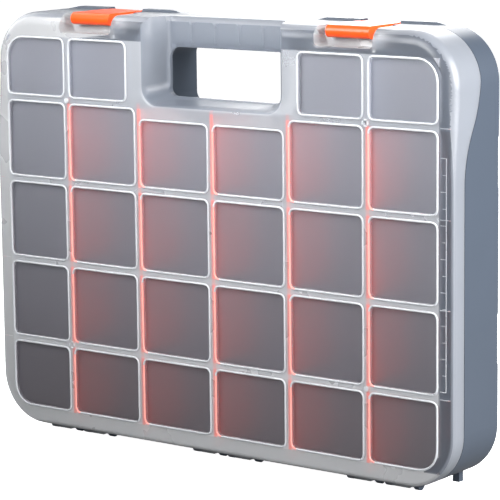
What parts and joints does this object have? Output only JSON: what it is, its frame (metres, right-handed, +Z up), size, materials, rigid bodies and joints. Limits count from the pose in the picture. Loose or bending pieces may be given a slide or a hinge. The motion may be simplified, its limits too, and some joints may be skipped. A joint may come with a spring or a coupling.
{
  "type": "small parts organizer",
  "caption": "Carry case for small parts: grey tray of cells with removable dividers, hinged frosted window lid, two latches and a handle opening.",
  "frame": {"origin": "middle of the standing case, on the floor under the hinge ears and rear feet", "axes": "+X along the width, +Y from the lid to the back, +Z up"},
  "size_m": [0.457, 0.0668, 0.3587],
  "materials": {
    "case_grey": "fine moulded satin",
    "lid_frosted": "frosted clear with clearer window panels",
    "orange": "smooth moulded satin"
  },
  "bodies": {
    "case": {"tray": "case_grey", "row_wall_1_left": "case_grey", "row_wall_1_right": "case_grey", "row_wall_2": "case_grey", "row_wall_3": "case_grey", "row_wall_4": "case_grey", "top_cell_wall_left": "case_grey", "top_cell_wall_right": "case_grey", "divider_r2_c1": "orange", "divider_r2_c2": "orange", "divider_r2_c3": "orange", "divider_r2_c4": "orange", "divider_r2_c5": "orange", "divider_r3_c1": "orange", "divider_r3_c2": "orange", "divider_r3_c3": "orange", "divider_r3_c4": "orange", "divider_r3_c5": "orange", "divider_r4_c1": "orange", "divider_r4_c2": "orange", "divider_r4_c3": "orange", "divider_r4_c4": "orange", "divider_r4_c5": "orange", "divider_r5_c1": "orange", "divider_r5_c2": "orange", "divider_r5_c3": "orange", "divider_r5_c4": "orange", "divider_r5_c5": "orange"},
    "lid": {"lid": "lid_frosted"},
    "latch_left": {"latch_left": "orange"},
    "latch_right": {"latch_right": "orange"}
  },
  "joints": [
    {"name": "lid_hinge", "type": "hinge", "parent": "case", "child": "lid", "pos_m": [0, -0.01355, 0.0046], "axis": [1, 0, 0], "range_deg": [0, 180]},
    {"name": "latch_left_hinge", "type": "hinge", "parent": "case", "child": "latch_left", "pos_m": [-0.1284, 0.02445, 0.3537], "axis": [-1, 0, 0], "range_deg": [0, 100]},
    {"name": "latch_right_hinge", "type": "hinge", "parent": "case", "child": "latch_right", "pos_m": [0.1284, 0.02445, 0.3537], "axis": [-1, 0, 0], "range_deg": [0, 100]}
  ]
}
